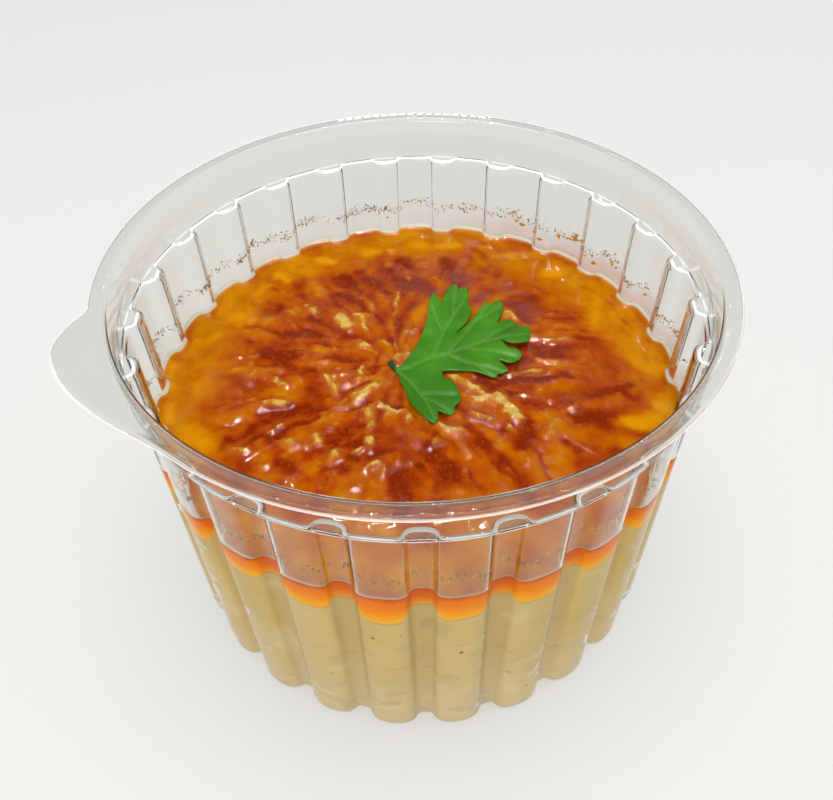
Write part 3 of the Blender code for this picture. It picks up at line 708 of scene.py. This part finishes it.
def oil_material(name, shine):
    """Olive oil stained by paprika: clear amber where deep, red-brown where grains lie, very glossy.

    Its maps say how much paprika lies there, how bare the paste is, where the oil is yellow over a
    shallow, where it thins out to nothing on the wall and is painted pale there, for the bright wall seen
    through it, and how far down the side a place is.
    """
    material, tree, shader = new_material(name, IOR=1.47, Roughness=0.03, Specular_IOR_Level=shine)
    place = add_node(tree, "TexCoord").outputs["Object"]
    names = ("paprika", "bare", "amber", "pale", "down", "rib")
    maps = {name: add_node(tree, "Attribute", {"attribute_name": name}).outputs["Fac"] for name in names}
    mottle = add_node(tree, "TexNoise", {"Scale": 420.0, "Detail": 5.0, "Roughness": 0.65}, {"Vector": place})
    uneven = add_node(
        tree, "MapRange", {"From Min": 0.3, "From Max": 0.7, "To Min": -0.13, "To Max": 0.13}, {"Value": mottle.outputs[0]}
    )
    stain = add_node(tree, "Math", {"operation": "ADD"}, {0: maps["paprika"], 1: uneven.outputs[0]})
    stained = (
        (0.0, "#C87D02"), (0.18, "#BB6F01"), (0.36, "#B45B02"), (0.52, "#AA4C05"),
        (0.68, "#9D3B07"), (0.84, "#8E2F08"), (1.0, "#7C2406"),
    )
    red = add_node(tree, "ValToRGB", {"stops": stained}, {0: stain.outputs[0]})
    yellowed = add_node(
        tree, "Mix", {"data_type": "RGBA", 7: linear("#D88F06")}, {0: maps["amber"], 6: red.outputs[0]}
    )
    grain = add_node(tree, "TexNoise", {"Scale": 1500.0, "Detail": 2.0}, {"Vector": place})
    crumbly = add_node(
        tree, "MapRange", {"From Min": 0.3, "From Max": 0.7, "To Min": -0.2, "To Max": 0.2}, {"Value": grain.outputs[0]}
    )
    dryness = add_node(tree, "Math", {"operation": "ADD"}, {0: maps["bare"], 1: crumbly.outputs[0]})
    dry = ((0.0, "#B6600A"), (0.3, "#BA7213"), (0.6, "#BF8728"), (0.95, "#CEA850"))
    paste = add_node(tree, "ValToRGB", {"stops": dry}, {0: dryness.outputs[0]})
    is_paste = add_node(tree, "MapRange", {"From Min": 0.05, "From Max": 0.75}, {"Value": dryness.outputs[0]})
    topped = add_node(
        tree, "Mix", {"data_type": "RGBA"}, {0: is_paste.outputs[0], 6: yellowed.outputs[2], 7: paste.outputs[0]}
    )
    # Painted light: the pale band at the wall stands for the bright wall seen through the thin oil.
    painted_see_through_at_wall = add_node(
        tree, "Mix", {"data_type": "RGBA", 7: linear("#D3D0BC")}, {0: maps["pale"], 6: topped.outputs[2]}
    )
    drop = add_node(tree, "Math", {"operation": "MULTIPLY", 1: 0.55}, {0: uneven.outputs[0]})
    lower = add_node(tree, "Math", {"operation": "ADD"}, {0: maps["down"], 1: drop.outputs[0]})
    deep = (
        (0.0, "#A2450A"), (0.09, "#C85A0E"), (0.2, "#E26F0E"), (0.5, "#E9800C"),
        (0.75, "#F09A12"), (0.9, "#EDA628"), (1.0, "#D9B468"),
    )
    in_lobe = add_node(tree, "ValToRGB", {"stops": deep}, {0: lower.outputs[0]})
    thin = ((0.0, "#A2450A"), (0.12, "#C4520F"), (0.5, "#D3640F"), (0.85, "#DF8A1C"), (1.0, "#C9A055"))
    on_rib = add_node(tree, "ValToRGB", {"stops": thin}, {0: lower.outputs[0]})
    side = add_node(
        tree, "Mix", {"data_type": "RGBA"}, {0: maps["rib"], 6: in_lobe.outputs[0], 7: on_rib.outputs[0]}
    )
    is_side = add_node(tree, "MapRange", {"From Min": 0.0, "From Max": 0.02}, {"Value": maps["down"]})
    whole = add_node(
        tree, "Mix", {"data_type": "RGBA"}, {0: is_side.outputs[0], 6: painted_see_through_at_wall.outputs[2], 7: side.outputs[2]}
    )
    tree.links.new(whole.outputs[2], shader.inputs["Base Color"])
    fine = add_node(tree, "TexNoise", {"Scale": 1300.0, "Detail": 3.0}, {"Vector": place})
    stirred = add_node(tree, "Math", {"operation": "MULTIPLY_ADD", 1: 0.3, 2: -0.03}, {0: maps["paprika"]})
    coarse = add_node(tree, "Math", {"operation": "MAXIMUM"}, {0: maps["bare"], 1: stirred.outputs[0]})
    rough = add_node(tree, "Math", {"operation": "MULTIPLY"}, {0: fine.outputs[0], 1: coarse.outputs[0]})
    bump = add_node(tree, "Bump", {"Strength": 0.6, "Distance": 0.0004}, {"Height": rough.outputs[0]})
    tree.links.new(bump.outputs[0], shader.inputs["Normal"])
    return material


top_rows = np.dstack([flat, OIL_LEVEL + oil_top[..., None]])
side_share = np.linspace(0, 1, 13)[1:]
wall_top = OIL_LEVEL + oil_top[-1]
side_rows = []
for fall in side_share:
    z = wall_top + (contact_z - wall_top) * fall
    side_rows.append(at_height(contour(z, SHEET - INTO_WALL), z))
under_rows = [at_height(top_ring(one), dome(one) - 0.9) for one in (0.95, 0.85, 0.6, 0.25)]
# Rows run from the underside out, up the wall and in over the top, so that the outside is on the right.
oil_points = np.concatenate([np.array(under_rows[::-1]), np.array(side_rows[::-1]), top_rows[::-1]])
oil = round_mesh(
    "paprika_oil_and_ridges",
    oil_points,
    oil_material("paprika_oil_on_paste", 0.3),
    first=(0, 0, OIL_LEVEL + HUMMUS_CROWN - 0.9),
    last=(0, 0, OIL_LEVEL + oil_top[0].mean()),
)
# Behind the wall the oil has no surface of its own to shine.
oil.data.materials.append(oil_material("paprika_oil_behind_wall", 0.02))
row_of_face = np.arange(len(oil.data.polygons)) // flat.shape[1]
oil.data.polygons.foreach_set("material_index", (row_of_face < len(under_rows) + len(side_rows)).astype(np.int32))
hidden = np.zeros((len(under_rows), flat.shape[1]))
on_side = np.repeat(side_share[::-1, None], flat.shape[1], 1)
for name, top in (("paprika", paprika), ("bare", bare), ("amber", amber), ("pale", pale)):
    values = np.concatenate([hidden, 0 * on_side, top[::-1]]).ravel()
    add_map(oil, name, np.append(values, (0, top[0].mean())))
add_map(oil, "down", np.append(np.concatenate([hidden + 1, on_side, 0 * paprika]).ravel(), (1, 0)))
add_map(oil, "rib", np.append(np.tile(smooth_step(0.6, 0.0, lobe_shape), len(oil_points)), (0, 0)))
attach(oil, "root")
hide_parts("paprika_oil")

# ------------------------------------------------------------------------------------------------
# The parsley: one flat-leaf leaf of three toothed lobes, laid on the ridges. Its veins are pale and a
# little sunk, the blade puffs up between them, and the tips lift off the oil.
# ------------------------------------------------------------------------------------------------
LEAF_HEIGHT = OIL_LEVEL + 0.75
LEAF_THICKNESS = 0.3
LEAF_STEP = 0.45
LEAF_OUTLINE = (
    (-6.1, 0.8), (-6.0, 1.5), (-5.2, 1.7), (-4.8, 0.9), (-4.1, -0.3), (-3.0, 0.6), (-1.4, 3.6), (0.1, 6.9), (1.8, 12.6), (2.4, 16.9),
    (2.7, 20.6), (3.3, 22.5), (3.9, 22.4), (4.8, 20.6), (5.3, 18.9), (5.7, 20.7), (6.6, 23.4), (7.7, 25.0),
    (8.5, 25.5), (9.0, 25.0), (9.2, 23.3), (10.1, 24.2), (11.1, 24.0), (11.4, 21.6), (11.1, 18.6), (11.7, 16.7),
    (11.1, 14.3), (10.0, 12.1), (7.9, 9.1), (10.1, 11.4), (12.3, 14.4), (13.6, 17.0), (15.3, 19.7), (15.5, 17.8),
    (16.4, 18.6), (18.3, 19.0), (18.5, 17.0), (18.0, 14.8), (16.8, 12.1), (18.5, 13.0), (20.1, 12.9), (21.1, 11.0),
    (22.7, 10.5), (23.6, 9.8), (23.3, 7.5), (22.7, 5.9), (20.1, 5.4), (18.4, 5.9), (17.2, 7.0), (18.6, 4.3),
    (20.1, 3.9), (21.1, 2.2), (20.1, 0.6), (18.4, -0.1), (16.4, 0.5), (17.6, -1.4), (17.8, -2.6), (15.9, -3.3),
    (15.4, -4.2), (14.2, -3.8), (12.6, -3.1), (10.8, -2.4), (7.8, -1.9), (5.0, -2.0), (5.2, -4.0), (6.5, -4.9),
    (7.2, -6.4), (8.1, -8.7), (8.0, -10.6), (6.9, -11.8), (6.8, -13.3), (5.4, -13.8), (3.8, -13.1), (3.6, -14.9),
    (3.1, -16.2), (1.5, -15.3), (0.0, -13.3), (-1.7, -10.3), (-2.8, -6.8), (-3.7, -4.1), (-4.2, -2.2),
)
LEAF_VEINS = (
    (
        (-5.5, 1.0), (-4.5, -1.0), (-2.0, -1.0), (0.5, 0.5), (3.0, 2.0),
        (6.0, 3.0), (9.5, 4.5), (13.0, 6.5), (18.0, 7.5), (22.5, 8.0),
    ),
    ((3.0, 2.0), (4.0, 5.0), (5.0, 8.5), (7.5, 15.0), (8.5, 23.5)),
    ((-4.5, -1.0), (-3.0, -3.0), (-1.5, -5.0), (0.0, -7.5), (1.5, -10.5), (3.0, -15.5)),
    ((5.5, 9.0), (4.0, 14.0), (3.0, 20.5)),
    ((7.0, 13.5), (9.5, 18.5), (11.0, 22.0)),
    ((6.0, 3.0), (9.5, 8.5), (13.0, 14.0), (15.0, 18.0)),
    ((12.0, 12.5), (15.0, 15.0), (18.0, 17.5)),
    ((13.0, 6.5), (17.0, 9.5), (20.0, 11.5)),
    ((9.5, 4.5), (15.0, 3.5), (20.0, 1.5)),
    ((6.0, 3.0), (10.5, 0.0), (17.0, -3.0)),
    ((11.5, -0.5), (14.0, -3.0), (15.0, -4.0)),
    ((0.5, -8.0), (4.0, -8.5), (7.0, -9.0)),
    ((1.0, -9.0), (4.0, -11.5), (6.0, -13.5)),
)


def rounded(points, steps):
    """A closed Catmull-Rom curve through points: each stretch is a cubic with the chords' mean slopes."""
    points = np.asarray(points, float)
    share = np.linspace(0, 1, steps, endpoint=False)[None, :, None]
    before, here, after, beyond = (np.roll(points, shift, 0)[:, None] for shift in (1, 0, -1, -2))
    curve = 2 * here + (after - before) * share
    curve = curve + (2 * before - 5 * here + 4 * after - beyond) * share**2
    curve = curve + (3 * here - before - 3 * after + beyond) * share**3
    return (curve / 2).reshape(-1, 2)


def inside(points, outline):
    """True for points that a ray to the east from them crosses the outline an odd number of times."""
    start, end = outline, np.roll(outline, -1, 0)
    above = (start[None, :, 1] > points[:, None, 1]) != (end[None, :, 1] > points[:, None, 1])
    slope = (end[:, 0] - start[:, 0]) / (end[:, 1] - start[:, 1] + 1e-12)
    cross = start[None, :, 0] + (points[:, None, 1] - start[None, :, 1]) * slope[None]
    return (above & (points[:, None, 0] < cross)).sum(1) % 2 == 1


def vein_distance(points, veins):
    """Distance from each point to the nearest stretch of any vein."""
    nearest = np.full(len(points), 1e9)
    for vein in veins:
        vein = np.asarray(vein, float)
        for start, end in zip(vein, vein[1:]):
            along = np.clip(((points - start) @ (end - start)) / ((end - start) @ (end - start)), 0, 1)
            nearest = np.minimum(nearest, np.linalg.norm(points - start - along[:, None] * (end - start), axis=1))
    return nearest


def leaf_mesh(material):
    """The outline filled on an even lattice, with relief: tips lift with distance, the blade puffs between veins."""
    rim = rounded(LEAF_OUTLINE, 6)
    low, high = rim.min(0), rim.max(0)
    lattice = np.stack(np.meshgrid(np.arange(low[0], high[0], LEAF_STEP), np.arange(low[1], high[1], LEAF_STEP)), -1)
    lattice = lattice.reshape(-1, 2)
    lattice = lattice[inside(lattice, rim)]
    clear = np.linalg.norm(lattice[:, None] - rim[None], axis=2).min(1) > 0.55 * LEAF_STEP
    points = np.vstack([rim, lattice[clear]])
    edges = [(number, (number + 1) % len(rim)) for number in range(len(rim))]
    points, _, faces, *_ = delaunay_2d_cdt(points.tolist(), edges, [], 1, 1e-5)
    points = np.array([tuple(point) for point in points])
    near = vein_distance(points, LEAF_VEINS)
    far = np.linalg.norm(points - np.array([-3.0, -1.0]), axis=1)
    z = LEAF_HEIGHT + 0.45 * np.minimum(near, 1.6) - 0.16 * np.minimum(near, 1.6) ** 2
    z = z + 0.0006 * far**2 + 0.25 * np.sin(points[:, 0] * 0.5 + 1.0) * np.cos(points[:, 1] * 0.45)
    leaf = new_mesh("parsley_leaf_blade", np.column_stack([points, z]), [tuple(face) for face in faces], material)
    add_map(leaf, "vein", np.exp(-((near / 0.27) ** 2)))
    add_map(leaf, "stalk", smooth_step(-4.2, -4.9, points[:, 0]))
    return leaf


def parsley_blade():
    """Fresh flat-leaf parsley: thin green blade with a slight waxy sheen, paler along the veins, with painted shade on
    its lower lobe towards -Y.
    """
    material, tree, shader = new_material("parsley_blade", Roughness=0.38, IOR=1.42, Specular_IOR_Level=0.2)
    place = add_node(tree, "TexCoord").outputs["Object"]
    cloud = add_node(tree, "TexNoise", {"Scale": 180.0, "Detail": 3.0}, {"Vector": place})
    green = add_node(tree, "ValToRGB", {"stops": ((0.3, "#2C6C04"), (0.7, "#458812"))}, {0: cloud.outputs[0]})
    vein = add_node(tree, "Attribute", {"attribute_name": "vein"}).outputs["Fac"]
    pale = add_node(tree, "Math", {"operation": "MULTIPLY", 1: 0.2}, {0: vein})
    # Painted shade: the lower lobe, towards -Y, is painted darker green.
    south = add_node(tree, "SeparateXYZ", None, {0: place}).outputs["Y"]
    shade = add_node(tree, "MapRange", {"From Min": 0.002, "From Max": -0.008, "To Max": 0.75}, {"Value": south})
    shaded = add_node(
        tree, "Mix", {"data_type": "RGBA", 7: linear("#2C6A08")}, {0: shade.outputs[0], 6: green.outputs[0]}
    )
    veined = add_node(
        tree, "Mix", {"data_type": "RGBA", 7: linear("#8CC05A")}, {0: pale.outputs[0], 6: shaded.outputs[2]}
    )
    stalk = add_node(tree, "Attribute", {"attribute_name": "stalk"}).outputs["Fac"]
    ended = add_node(
        tree, "Mix", {"data_type": "RGBA", 7: linear("#1E3A12")}, {0: stalk, 6: veined.outputs[2]}
    )
    tree.links.new(ended.outputs[2], shader.inputs["Base Color"])
    bump = add_node(tree, "Bump", {"Strength": 0.25, "Distance": 0.0003}, {"Height": cloud.outputs[0]})
    tree.links.new(bump.outputs[0], shader.inputs["Normal"])
    return material


leaf = leaf_mesh(parsley_blade())
blade = leaf.modifiers.new("blade", "SOLIDIFY")
blade.thickness = LEAF_THICKNESS * MM
blade.offset = 0.0
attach(leaf, "root")
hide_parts("parsley_leaf")

# ------------------------------------------------------------------------------------------------
# Paprika grains: where the oil sloshed it left a wavy tide line of grains on the wall, denser in some
# stretches than others, with strays above it. More float on the oil.
# ------------------------------------------------------------------------------------------------
TIDE_HEIGHT = 5.5
TIDE_GRAINS = 7000
FLOATING_GRAINS = 4200


def scatter(name, places, sizes, material, seed):
    """Grains as one mesh: an octahedron at each place, of its own size, flattened and turned at random."""
    rng = np.random.default_rng(seed)
    corners = np.array([(1, 0, 0), (0, 1, 0), (-1, 0, 0), (0, -1, 0), (0, 0, 1), (0, 0, -1)], float)
    sides = np.array([(0, 1, 4), (1, 2, 4), (2, 3, 4), (3, 0, 4), (1, 0, 5), (2, 1, 5), (3, 2, 5), (0, 3, 5)])
    stretch = rng.uniform(0.45, 1.0, (len(places), 1, 3)) * sizes[:, None, None]
    turn = np.linalg.qr(rng.normal(size=(len(places), 3, 3)))[0]
    turn *= np.sign(np.linalg.det(turn))[:, None, None]
    points = (corners * stretch) @ turn + places[:, None]
    faces = sides + 6 * np.arange(len(places))[:, None, None]
    return new_mesh(name, points.reshape(-1, 3), faces.reshape(-1, 3).tolist(), material)


def wall_film_and_reflection():
    """Oil that ran back down the wall: a thin clear film, faintly tanned by the paprika in it, that is also a painted
    reflection of the orange oil in the wall.
    """
    material, tree, shader = new_material(
        "oil_film_and_painted_reflection", Base_Color=linear("#D4813A"), Roughness=0.5, IOR=1.3, Specular_IOR_Level=0.0
    )
    tint = add_node(tree, "Attribute", {"attribute_name": "tint"}).outputs["Fac"]
    tree.links.new(tint, shader.inputs["Alpha"])
    return material


def grain_material(name, *tones):
    """Coarse ground paprika and pepper soaked in oil, in three tones."""
    material, tree, shader = new_material(name, Roughness=0.35, IOR=1.47, Specular_IOR_Level=0.1)
    place = add_node(tree, "TexCoord").outputs["Object"]
    kind = add_node(tree, "TexNoise", {"Scale": 900.0, "Detail": 0.0}, {"Vector": place})
    tone = add_node(tree, "ValToRGB", {"stops": tuple(zip((0.35, 0.55, 0.7), tones))}, {0: kind.outputs[0]})
    tree.links.new(tone.outputs[0], shader.inputs["Base Color"])
    return material


def wall_places(angle, z, inset):
    """Places on the wall's inner face at given angles and heights, from its section at each of nine heights."""
    heights = np.linspace(z.min(), z.max(), 9)
    radii = []
    for height in heights:
        ring = contour(height, inset)
        turn = np.arctan2(ring[:, 1], ring[:, 0])
        order = np.argsort(turn)
        radii.append(np.interp(angle, turn[order], np.linalg.norm(ring, axis=1)[order], period=2 * math.pi))
    level = (z - heights[0]) / (heights[-1] - heights[0]) * 8
    low = np.clip(np.floor(level).astype(int), 0, 7)
    radii = np.array(radii)
    each = np.arange(len(angle))
    radius = radii[low, each] + (radii[low + 1, each] - radii[low, each]) * (level - low)
    return np.stack([radius * np.cos(angle), radius * np.sin(angle), z], 1)


grain_rng = np.random.default_rng(41)
grain_angle = grain_rng.uniform(-math.pi, math.pi, TIDE_GRAINS)
wave = value_noise(grain_angle * 0 + 5.5, (grain_angle / math.pi + 1) * 30, 42, 60)
thick = value_noise(grain_angle * 0 + 1.5, (grain_angle / math.pi + 1) * 45, 43, 90)
kept = grain_rng.uniform(-1.0, 0.8, TIDE_GRAINS) < thick
grain_z = OIL_LEVEL + TIDE_HEIGHT + 1.1 * wave + grain_rng.normal(0, 0.65, TIDE_GRAINS)
tide_places = wall_places(grain_angle[kept], grain_z[kept], SHEET + 0.04)
tide = scatter(
    "paprika_tide_line",
    tide_places,
    grain_rng.lognormal(-1.75, 0.4, len(tide_places)),
    grain_material("dried_paprika_grain", "#86602A", "#B0864A", "#CC9048"),
    44,
)
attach(tide, "root")

# Drops of oil that still hang on the wall: angle in degrees, height, size.
DROPS = np.array([
    (45.4, 53.4, 0.9), (47.5, 52.6, 0.5), (43.0, 53.9, 0.4), (37.3, 51.2, 0.5), (33.0, 52.6, 0.6), (31.5, 52.2, 0.4),
    (19.8, 52.0, 0.5), (54.4, 51.0, 0.6), (57.0, 51.6, 0.4), (60.8, 52.0, 0.7), (62.5, 52.6, 0.4), (50.0, 52.4, 0.5),
    (40.0, 52.2, 0.4),
])
drops = scatter(
    "oil_drops_on_wall",
    wall_places(np.radians(DROPS[:, 0]), DROPS[:, 1], SHEET + 0.1),
    1.5 * DROPS[:, 2],
    grain_material("paprika_oil_drop", "#BE7A12", "#CA8C1C", "#D8A030"),
    46,
)
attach(drops, "root")

# The film under the tide line, denser towards -Y and +X, where it is also a painted reflection of the orange oil in the
# wall.
film_share = np.linspace(0, 1, 7)[:, None]
film_wave = value_noise(edge_angle * 0 + 5.5, (edge_angle / math.pi + 1) * 30, 42, 60)
film_top = OIL_LEVEL + TIDE_HEIGHT + 1.1 * film_wave
film_rows = []
for share_up in film_share[:, 0]:
    film_z = FILL_LINE + (film_top - FILL_LINE) * share_up
    film_rows.append(at_height(contour(film_z, SHEET + 0.05), film_z))
film_and_reflection_side = np.cos(edge_angle + math.radians(20))
film_patch = 1 + 0.4 * value_noise(film_share * 2.5 + edge_angle * 0, (edge_angle / math.pi + 1) * 20, 47, 40)
film_and_reflection_tint = (0.03 + 0.12 * smooth_step(-0.5, 0.6, film_and_reflection_side)) * film_patch * (1.5 - film_share) * (1 - film_share**5)
wall_oil = round_mesh("oil_film_and_painted_reflection_on_wall", film_rows, wall_film_and_reflection())
add_map(wall_oil, "tint", film_and_reflection_tint)
film_sheet = wall_oil.modifiers.new("film", "SOLIDIFY")
film_sheet.thickness = 0.05 * MM
film_sheet.offset = -1.0
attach(wall_oil, "root")

float_row = grain_rng.integers(20, TOP_ROWS - 14, FLOATING_GRAINS)
float_column = grain_rng.integers(0, flat.shape[1], FLOATING_GRAINS)
float_xy = flat[float_row, float_column] + grain_rng.uniform(-0.3, 0.3, (FLOATING_GRAINS, 2))
float_z = OIL_LEVEL + oil_top[float_row, float_column] - 0.02
floating = scatter(
    "paprika_floating",
    np.column_stack([float_xy, float_z]),
    grain_rng.lognormal(-2.5, 0.35, FLOATING_GRAINS),
    grain_material("wet_paprika_grain", "#5A2A08", "#7A3A0A", "#8E4A10"),
    45,
)
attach(floating, "root")
